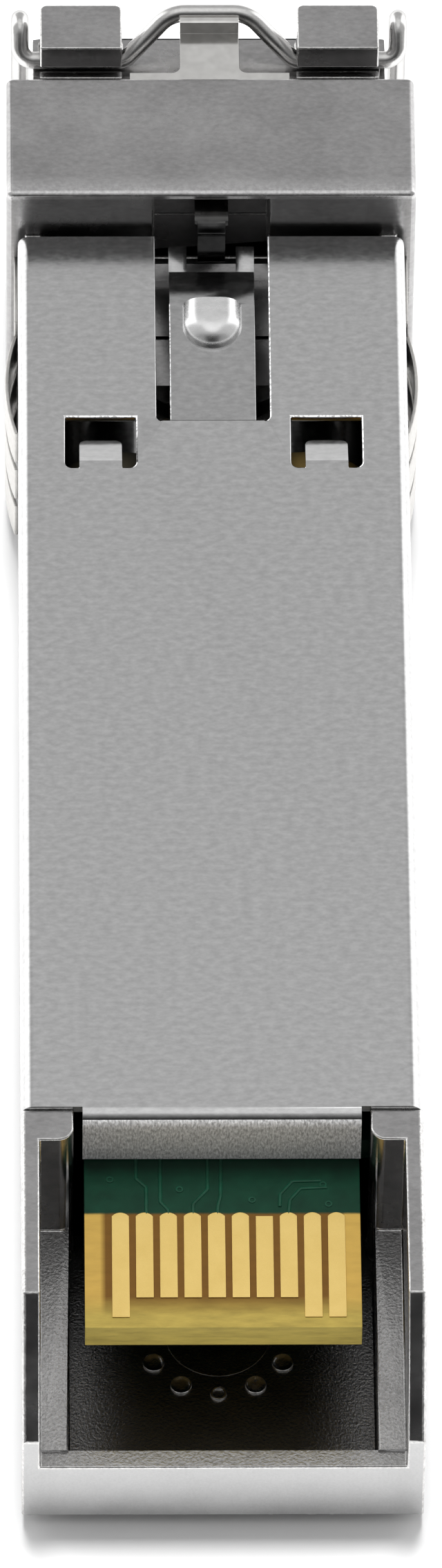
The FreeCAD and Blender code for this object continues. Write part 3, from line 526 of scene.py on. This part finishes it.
def housingEdge(edge):
    # the skirts' long edges are worn rounder
    # those of the latch channel, lip and collar's back stay crisp
    a, b = (point.co for point in edge.verts)
    middle = (a + b) / 2
    start, end = housingMaker["channelEnds"]
    if abs(middle.x) < housingMaker["channelHalf"] and start < middle.y < end:
        return 0.0
    if middle.z > rollMaker["midZ"] and abs(a.y - b.y) < near and middle.y < housingMaker["collarBack"]:
        return 0.0
    ledgeEnd = housingLow.y + housingMaker["ledgeEnd"] + housingMaker["ledgeShift"]
    if max(abs(point.y - ledgeEnd) for point in (a, b)) < housingMaker["ledgeNear"]:
        return 0.0
    behind = max(a.y, b.y) < housingMaker["rawEnd"] + housingMaker["rawPast"]
    onSkirt = behind and abs(middle.x) > housingMaker["skirtIn"]
    long = abs(a.y - b.y) > housingMaker["longFrom"]
    return 1.0 if long and onSkirt else housingMaker["edge"] / housingMaker["longEdge"]


softened(castHousing, housingMaker["longEdge"], 3, clamp=False, edgeSlot=castSkins.index(edgeWearGlintFinish),
         shareOf=housingEdge)
standsFor(castHousing, "module", "housing")

coverMaker = {"node": "bottom_cover", "edge": 0.05 * mm, "flangeHalf": 4.7 * mm,
              "bendStart": coverLow.y + 0.3 * mm, "bendOld": 0.3 * mm, "bendNew": 0.55 * mm,
              "footOld": 7.0 * mm, "footNew": 6.8 * mm, "grainFrom": -0.75}
coverShell = mergedCopy(coverMaker["node"], "coverShell")
oldMid = coverHigh.z - coverMaker["bendOld"]
newMid = coverHigh.z - coverMaker["bendNew"]
grow = coverMaker["bendNew"] / coverMaker["bendOld"]
for point in coverShell.data.vertices:     # the bend at the folded edge is fuller than in the plain solid
    if abs(point.co.x) < coverMaker["flangeHalf"] and point.co.y < coverMaker["bendStart"] + hair:
        inBend = point.co.y < coverMaker["bendStart"] - hair
        if abs(point.co.z - coverMaker["footOld"]) < hair:
            point.co.z = coverMaker["footNew"]
        elif point.co.z > oldMid - hair and inBend:
            point.co.z = newMid + (point.co.z - oldMid) * grow
        if inBend:
            point.co.y = coverMaker["bendStart"] + (point.co.y - coverMaker["bendStart"]) * grow
coverSkins = [sheetFinish, millFinish, tabPaintedLightFinish, paintedGlintFinish]
wears(coverShell, *coverSkins)
tabMaker = {"inner": 3.1 * mm, "outer": 4.66 * mm, "root": 9.3 * mm, "end": 10.6 * mm, "past": 0.1 * mm,
            "round": 0.25 * mm, "level": 0.85}
burrGlintMaker = {"reach": 5.4 * mm, "start": 9.0 * mm, "end": 17.5 * mm, "tabStart": 9.13 * mm,
             "rootNear": 0.1 * mm, "depth": 0.1 * mm, "flat": 0.97, "lean": 0.2, "crisp": 0.08}


def onTab(at, startY):
    across = tabMaker["inner"] < abs(at.x) < tabMaker["outer"]
    return across and startY < at.y < tabMaker["end"] + tabMaker["past"]


def inOpening(at):
    beside = abs(at.x) < burrGlintMaker["reach"] and burrGlintMaker["start"] < at.y < burrGlintMaker["end"]
    return beside and not onTab(at, burrGlintMaker["tabStart"])


def coverEdge(edge):
    # the tongue leaves the sheet without an edge, and only the punched openings' edges are rolled over
    middle = (edge.verts[0].co + edge.verts[1].co) / 2
    if abs(middle.y - tongueLow.y) < burrGlintMaker["rootNear"] and abs(middle.x) < tongueHigh.x:
        return 0.0
    return 1.0 if inOpening(middle) else burrGlintMaker["crisp"]


def addPaintedGlints(piece, slot):
    # painted highlight: bright where the rolled edge faces the left or the rear
    for face in piece.data.polygons:
        facing = face.normal
        leaning = burrGlintMaker["lean"] < facing.z < burrGlintMaker["flat"]
        turned = min(facing.x, facing.y) < -burrGlintMaker["lean"]
        onTop = face.center.z > coverHigh.z - burrGlintMaker["depth"]
        if inOpening(face.center) and leaning and turned and onTop:
            face.material_index = slot


roundUprights(coverShell, lambda at: onTab(at, tabMaker["end"]), tabMaker["round"])
softened(coverShell, coverMaker["edge"], 2, clamp=False, shareOf=coverEdge)
standsFor(coverShell, "module", "bottom_cover")
addPaintedGlints(coverShell, coverSkins.index(paintedGlintFinish))
for face in coverShell.data.polygons:
    # painted light: the tabs' upper faces are paler than the sheet around them
    if face.normal.z > tabMaker["level"] and onTab(face.center, tabMaker["root"]):
        face.material_index = coverSkins.index(tabPaintedLightFinish)
    atFlange = abs(face.center.x) < coverMaker["flangeHalf"] and face.center.y < coverMaker["bendStart"]
    if atFlange and face.normal.y < coverMaker["grainFrom"]:
        face.material_index = coverSkins.index(millFinish)

tongueMaker = {"node": "latch_tongue", "edge": 0.04 * mm, "rootShift": 0.02 * mm}
bossMaker = {"half": 1.04 * mm, "midY": 15.4125 * mm, "frontY": 16.1725 * mm, "foot": coverHigh.z,
             "crown": 0.72 * mm, "steps": 8, "sides": 48, "overrun": 6}
tongueSkins = [tongueFinish, paintedGlintFinish]
tongueSheet = mergedCopy(tongueMaker["node"], "tongueSheet")
wears(tongueSheet, *tongueSkins)
pickParts(tongueSheet, "VERT", lambda point: point.co.z > bossMaker["foot"] + near / 2)
bpy.ops.mesh.delete(type="VERT")     # the boss is modelled on its own below
bpy.ops.mesh.select_all(action="SELECT")
bpy.ops.mesh.fill_holes(sides=0)
bpy.ops.object.mode_set(mode="OBJECT")
for point in tongueSheet.data.vertices:     # almost closes the seam to the sheet it is cut from
    if point.co.y < tongueLow.y + hair:
        point.co.y -= tongueMaker["rootShift"]
softened(tongueSheet, tongueMaker["edge"], 2, clamp=False, shareOf=coverEdge)
addPaintedGlints(tongueSheet, tongueSkins.index(paintedGlintFinish))
standsFor(tongueSheet, "tongue", "latch_tongue")

# latch boss: a drawn dome, cut square in front
bpy.ops.object.select_all(action="DESELECT")
bpy.ops.mesh.primitive_circle_add(vertices=bossMaker["sides"], radius=bossMaker["half"], fill_type="NGON",
                                  location=(0, bossMaker["midY"], bossMaker["foot"]))
latchBoss = bpy.context.active_object
latchBoss.name = "latchBoss"
bpy.ops.object.transform_apply(location=True, rotation=True, scale=True)
for point in latchBoss.data.vertices:
    if point.co.y > bossMaker["midY"] + hair:     # long enough to reach the cut after every scaling
        point.co.y += bossMaker["half"] * bossMaker["overrun"]
bossHigh = tongueHigh.z - bossMaker["foot"]
bpy.ops.object.mode_set(mode="EDIT")
bpy.ops.mesh.select_all(action="SELECT")
size, high = 1.0, 0.0
for i in range(1, bossMaker["steps"] + 1):
    turn = math.pi / 2 * i / bossMaker["steps"]
    nextSize = 1 - (1 - math.cos(turn)) * bossMaker["crown"] / bossMaker["half"]
    nextHigh = bossHigh * math.sin(turn)
    bpy.ops.mesh.extrude_region_move(TRANSFORM_OT_translate={"value": (0, 0, nextHigh - high)})
    bpy.ops.transform.resize(value=(nextSize / size, nextSize / size, 1),
                             center_override=(0, bossMaker["midY"], bossMaker["foot"]))
    size, high = nextSize, nextHigh
bpy.ops.mesh.select_all(action="SELECT")
bpy.ops.mesh.bisect(plane_co=(0, bossMaker["frontY"], 0), plane_no=(0, 1, 0), clear_outer=True,
                    use_fill=True)
bpy.ops.mesh.select_all(action="SELECT")
bpy.ops.mesh.normals_make_consistent(inside=False)
bpy.ops.object.mode_set(mode="OBJECT")
bpy.ops.object.shade_smooth_by_angle(angle=smoothAngle)
addsTo("tongue", latchBoss, bossFinish)

sliderMaker = {"node": "release_slider", "edge": 0.04 * mm, "footRound": 0.3 * mm}
sliderStrip = mergedCopy(sliderMaker["node"], "sliderStrip")
wears(sliderStrip, slidePaintedShadeFinish)
roundUprights(sliderStrip, lambda at: at.y < sliderLow.y + near, sliderMaker["footRound"])
softened(sliderStrip, sliderMaker["edge"], 2)
standsFor(sliderStrip, "slider", "release_slider")

clipMaker = {"node": "emi_clip", "edge": 0.025 * mm}
clipSheet = mergedCopy(clipMaker["node"], "clipSheet")
wears(clipSheet, clipFinish)
softened(clipSheet, clipMaker["edge"], 2)
standsFor(clipSheet, "module", "emi_clip")

boardPlate = mergedCopy("circuit_board", "boardPlate")
wears(boardPlate, boardSkin)
softened(boardPlate, boardMaker["edge"], 2)
standsFor(boardPlate, "module", "circuit_board")

# contacts: the ends at the mask are rounded, but for the one that stops short of it
fingerMaker = {"node": "contacts_upper", "edge": 0.015 * mm, "endRound": 0.13 * mm}
fingerRow = mergedCopy(fingerMaker["node"], "fingerRow")
wears(fingerRow, goldFinish)
roundUprights(fingerRow, lambda at: at.y > rowHigh.y - near, fingerMaker["endRound"])
softened(fingerRow, fingerMaker["edge"], 2)
standsFor(fingerRow, "module", "contacts_upper")
print("softened copies made")


# round wire: a ring drawn along straight lengths and spun round the bends
def bentRod(name, corners, maker):
    points = [Vector(c[:3]) * mm for c in corners]
    bends = [c[3] * mm for c in corners]
    here = points[0]
    heading = (points[1] - points[0]).normalized()
    turn = Vector((0, 0, 1)).rotation_difference(heading).to_euler()
    bpy.ops.object.select_all(action="DESELECT")
    bpy.ops.mesh.primitive_circle_add(vertices=maker["sides"], radius=maker["radius"] * mm,
                                      fill_type="NOTHING", location=here, rotation=turn)
    rod = bpy.context.active_object
    rod.name = name
    bpy.ops.object.transform_apply(location=True, rotation=True, scale=True)
    bpy.ops.object.mode_set(mode="EDIT")
    bpy.ops.mesh.select_all(action="SELECT")
    for before, at, after, bend in zip(points, points[1:], points[2:], bends[1:]):
        back = (before - at).normalized()
        ahead = (after - at).normalized()
        halfAngle = back.angle(ahead) / 2
        reach = bend / math.tan(halfAngle)
        bpy.ops.mesh.extrude_region_move(TRANSFORM_OT_translate={"value": at + back * reach - here})
        centre = at + (back + ahead).normalized() * (bend / math.sin(halfAngle))
        axis = (-back).cross(ahead).normalized()
        # with no window, spin turns the other way
        bpy.ops.mesh.spin(steps=maker["steps"], angle=2 * halfAngle - math.pi, center=centre, axis=axis)
        here = at + ahead * reach
    bpy.ops.mesh.extrude_region_move(TRANSFORM_OT_translate={"value": points[-1] - here})
    bpy.ops.mesh.select_all(action="SELECT")
    bpy.ops.mesh.fill_holes(sides=0)
    bpy.ops.mesh.normals_make_consistent(inside=False)
    bpy.ops.object.mode_set(mode="OBJECT")
    bpy.ops.object.shade_smooth_by_angle(angle=smoothAngle)
    return rod


# the bail, in millimetres from its hinge: cross bar, legs, cranks into the hooks, hump over the slider
bailMaker = {"radius": 0.308, "sides": 28, "steps": 10,
             "half": [(0.15, 1.48, -8.68, 0.9), (6.6, 1.48, -8.68, 0.9), (6.6, 1.48, 1.48, 0.48),
                      (6.6, 0, 0, 0.48), (2.95, 0, 0, 0.48), (1.35, 1.16, 1.16, 1.2)]}
hinge = next(j for j in frame["record"]["behaviour"]["joints"] if j["name"] == "bail_hinge")
pivot = [c / mm for c in hinge["pos_m"]]
halfPath = [(x, pivot[1] + y, pivot[2] + z, bend) for x, y, z, bend in bailMaker["half"]]
bailPath = halfPath + [(-x, y, z, bend) for x, y, z, bend in reversed(halfPath)]
bailWire = bentRod("bailWire", bailPath, bailMaker)
wears(bailWire, wireFinish)
standsFor(bailWire, "bail", "bail")

# copper runs under the mask, from the contacts' ends
# places in millimetres across and ahead of those ends
traceMaker = {"radius": 0.07, "sunk": 0.025, "bend": 0.12, "sides": 10, "steps": 4,
              "runs": [[(-2.53, -0.05), (-2.53, 1.06), (-2.87, 1.42), (-2.87, 2.6)],
                       [(-1.80, -0.05), (-1.80, 0.12), (-2.06, 0.45), (-2.06, 2.6)],
                       [(-0.97, -0.05), (-0.97, 0.37), (-0.48, 0.97), (-0.48, 2.6)],
                       [(-0.16, -0.05), (-0.14, 0.30), (-0.05, 0.70), (-0.03, 2.6)],
                       [(2.21, -0.05), (2.26, 0.52), (2.62, 1.0), (3.5, 1.04)],
                       [(1.92, 0.25), (1.94, 0.76), (2.34, 1.29), (3.3, 1.32)]]}
traceHigh = boardHigh.z / mm - traceMaker["sunk"]
rowEnd = rowHigh.y / mm
for i, run in enumerate(traceMaker["runs"]):
    path = [(x, rowEnd + y, traceHigh, traceMaker["bend"]) for x, y in run]
    addsTo("module", bentRod("trace%d" % (i + 1), path, traceMaker), traceSkin)

# vias: a low collar round a small hole
viaMaker = {"radius": 0.13 * mm, "rim": 0.06 * mm, "height": 0.03 * mm, "hole": 0.05 * mm,
            "edge": 0.009 * mm, "lift": 0.009 * mm, "sides": 20,
            "spots": [(-1.42, 0.97), (1.0, 0.53), (3.55, 0.36), (3.37, 1.16), (-3.74, 1.38)]}


def lowDisc(spot, maker):
    # a low round disc with its top face inset, left in edit mode
    bpy.ops.object.select_all(action="DESELECT")
    bpy.ops.mesh.primitive_cylinder_add(vertices=maker["sides"], radius=maker["radius"],
                                        depth=maker["height"], location=spot)
    disc = bpy.context.active_object
    bpy.ops.object.transform_apply(location=True, rotation=True, scale=True)
    pickParts(disc, "FACE", facesUp)
    bpy.ops.mesh.inset(thickness=maker["rim"])
    return disc


def lowCollar(name, spot, maker):
    collar = lowDisc(spot, maker)
    collar.name = name
    bpy.ops.mesh.extrude_region_move(TRANSFORM_OT_translate={"value": (0, 0, -maker["hole"])})
    bpy.ops.object.mode_set(mode="OBJECT")
    softened(collar, maker["edge"], 2)
    return collar


for i, (x, y) in enumerate(viaMaker["spots"]):
    spot = (x * mm, rowHigh.y + y * mm, boardHigh.z + viaMaker["lift"])
    addsTo("module", lowCollar("via%d" % (i + 1), spot, viaMaker), traceSkin)
print("traces and vias made")

# date dial cast in the recess floor: round studs, a bare ring in the lowest place, a thin circle inside
dialMaker = {"centre": (-0.116 * mm, -22.275 * mm), "floorZ": 1.8 * mm, "reach": 2.49 * mm, "places": 12,
             "ringPlace": 6}
studMaker = {"radius": 0.37 * mm, "rim": 0.144 * mm, "height": 0.16 * mm, "dish": 0.06 * mm,
             "edge": 0.054 * mm, "edgeAngle": 20, "sides": 28}
ringMaker = {"radius": 0.29 * mm, "rim": 0.12 * mm, "height": 0.14 * mm, "hole": 0.1 * mm,
             "edge": 0.042 * mm, "sides": 28}
circleMaker = {"radius": 1.78 * mm, "rim": 0.04 * mm, "height": 0.02 * mm, "hole": 0.04 * mm,
               "edge": 0.006 * mm, "sides": 64}
dialX, dialY = dialMaker["centre"]
stud = lowDisc((dialX, dialY, dialMaker["floorZ"]), studMaker)
bpy.ops.transform.translate(value=(0, 0, -studMaker["dish"]))
bpy.ops.object.mode_set(mode="OBJECT")
softened(stud, studMaker["edge"], 3, angle=studMaker["edgeAngle"])
studs = []
for i in range(dialMaker["places"]):
    if i != dialMaker["ringPlace"]:
        turn = 2 * math.pi * i / dialMaker["places"]
        copy = bpy.data.objects.new("dialStud", stud.data.copy())
        bpy.context.scene.collection.objects.link(copy)
        outward = Vector((math.sin(turn), math.cos(turn), 0))
        copy.data.transform(Matrix.Translation(outward * dialMaker["reach"]))
        studs.append(copy)
bpy.data.objects.remove(stud)
bpy.ops.object.select_all(action="DESELECT")
for copy in studs:
    copy.select_set(True)
bpy.context.view_layer.objects.active = studs[0]
bpy.ops.object.join()
dialStuds = bpy.context.active_object
dialStuds.name = "dialStuds"
dialRing = lowCollar("dialRing", (dialX, dialY - dialMaker["reach"], dialMaker["floorZ"]), ringMaker)
dialCircle = lowCollar("dialCircle", (dialX, dialY, dialMaker["floorZ"]), circleMaker)
# the dial takes the edge finish too, paler with wear and painted highlight
for piece in (dialStuds, dialRing, dialCircle):
    addsTo("module", piece, edgeWearGlintFinish)
print("dial made")

# floor, light and camera
floorMaker = {"size": 6.0, "rough": 0.9, "colour": grey(0.9)}
bpy.ops.object.select_all(action="DESELECT")
bpy.ops.mesh.primitive_plane_add(size=floorMaker["size"], location=(0, 0, 0))
floor = bpy.context.active_object
floor.name = "floor"
floorMat, floorShader = newFinish("paleFloor", 0.0, floorMaker["rough"], floorMaker["colour"])
floorShader.inputs["Specular IOR Level"].default_value = 0.0
floor.data.materials.append(floorMat)

world = bpy.data.worlds.new("studio")
bpy.context.scene.world = world
world.use_nodes = True


def glow(source, span, outLow, outHigh):
    return ramped(world, source, *span, outLow, outHigh, "SMOOTHSTEP")


def brighter(a, b):
    return combined(world, "MAXIMUM", a, b)


def times(a, b):
    return combined(world, "MULTIPLY", a, b)


# strengths, and the spans of the direction's parts over which each glow comes in
studio = {"side": 1.9, "sideSpan": (0.30, 0.64), "sideAhead": (0.10, 0.40),
          "ahead": 0.57, "room": 0.05, "roomSpan": (-0.85, -0.25),
          "flank": 0.55, "flankSpan": (0.22, 0.50), "top": 1.0, "topSpan": (0.86, 0.98),
          "slope": 0.50, "slopeSpan": (0.70, 0.98), "slopeAhead": (0.0, 0.2), "rimSpan": (0.05, 0.09)}
direction = addNode(world, "ShaderNodeTexCoord")
split = addNode(world, "ShaderNodeSeparateXYZ")
link(world, direction.outputs["Generated"], split.inputs[0])
sideways = combined(world, "ABSOLUTE", split.outputs["X"], 0.0)
onward = split.outputs["Y"]
upward = split.outputs["Z"]
# bright boards left and right
boards = times(glow(sideways, studio["sideSpan"], 0.0, 1.0), glow(onward, studio["sideAhead"], 0.0, 1.0))
# dark room in the middle behind the camera
room = glow(onward, studio["roomSpan"], studio["room"], 1.0)
room = brighter(room, glow(sideways, studio["flankSpan"], 0.0, studio["flank"]))
overhead = glow(upward, studio["topSpan"], 0.0, studio["top"])
slope = glow(upward, studio["slopeSpan"], studio["slope"], 1.0)
slope = times(slope, glow(onward, studio["slopeAhead"], 0.0, 1.0))
lit = brighter(times(room, studio["ahead"]), brighter(overhead, slope))
lit = brighter(lit, times(boards, studio["side"]))
# the white backdrop low round the floor's rim, for what is seen and mirrored
rays = addNode(world, "ShaderNodeLightPath")
seen = brighter(rays.outputs["Is Camera Ray"], rays.outputs["Is Glossy Ray"])
seen = brighter(seen, rays.outputs["Is Transmission Ray"])
backdrop = times(seen, glow(upward, studio["rimSpan"], 1.0, 0.0))
background = world.node_tree.nodes["Background"]
link(world, brighter(lit, backdrop), background.inputs["Strength"])
background.inputs["Color"].default_value = (1, 1, 1, 1)

# soft lamps in degrees, metres and watts, which metal doesn't mirror
lampMaker = {
    "keyLamp": {"azimuth": 0, "elevation": 71, "distance": 0.6,
                "width": 0.20, "depth": 0.24, "watts": 4.6},
    "fillLamp": {"azimuth": 180, "elevation": 25, "distance": 0.6,
                 "width": 0.4, "depth": 0.2, "watts": 0.12},
}
for name, maker in lampMaker.items():
    az, el = math.radians(maker["azimuth"]), math.radians(maker["elevation"])
    toLamp = Vector((math.sin(az) * math.cos(el), math.cos(az) * math.cos(el), math.sin(el)))
    data = bpy.data.lights.new(name, "AREA")
    data.shape = "RECTANGLE"
    data.size = maker["width"]
    data.size_y = maker["depth"]
    data.energy = maker["watts"]
    lamp = bpy.data.objects.new(name, data)
    bpy.context.scene.collection.objects.link(lamp)
    lamp.location = toLamp * maker["distance"]
    lamp.rotation_euler = (-toLamp).to_track_quat("-Z", "Y").to_euler()
    lamp.visible_glossy = False

view = {"target": (0.183 * mm, -1.1185 * mm, 4.5 * mm), "distance": 593.2 * mm, "elevation": 52.218,
        "azimuth": -1.352, "roll": 0.972, "focalPixels": 25168.7, "tallPixels": 2268, "sensor": 36.0,
        "clipStart": 0.01}
az, el, roll = (math.radians(view[k]) for k in ("azimuth", "elevation", "roll"))
back = Vector((math.sin(az) * math.cos(el), -math.cos(az) * math.cos(el), math.sin(el)))
right = Vector((0, 0, 1)).cross(back).normalized()
up = back.cross(right)
rolledRight = right * math.cos(roll) + up * math.sin(roll)
rolledUp = up * math.cos(roll) - right * math.sin(roll)
cameraData = bpy.data.cameras.new("camera")
cameraData.sensor_width = view["sensor"]
cameraData.lens = view["focalPixels"] * view["sensor"] / view["tallPixels"]
cameraData.clip_start = view["clipStart"]
camera = bpy.data.objects.new("camera", cameraData)
bpy.context.scene.collection.objects.link(camera)
spin = Matrix((rolledRight, rolledUp, back)).transposed().to_4x4()
camera.matrix_world = Matrix.Translation(Vector(view["target"]) + back * view["distance"]) @ spin
bpy.context.scene.camera = camera
bpy.context.scene.view_settings.view_transform = "Standard"
print("stage set")
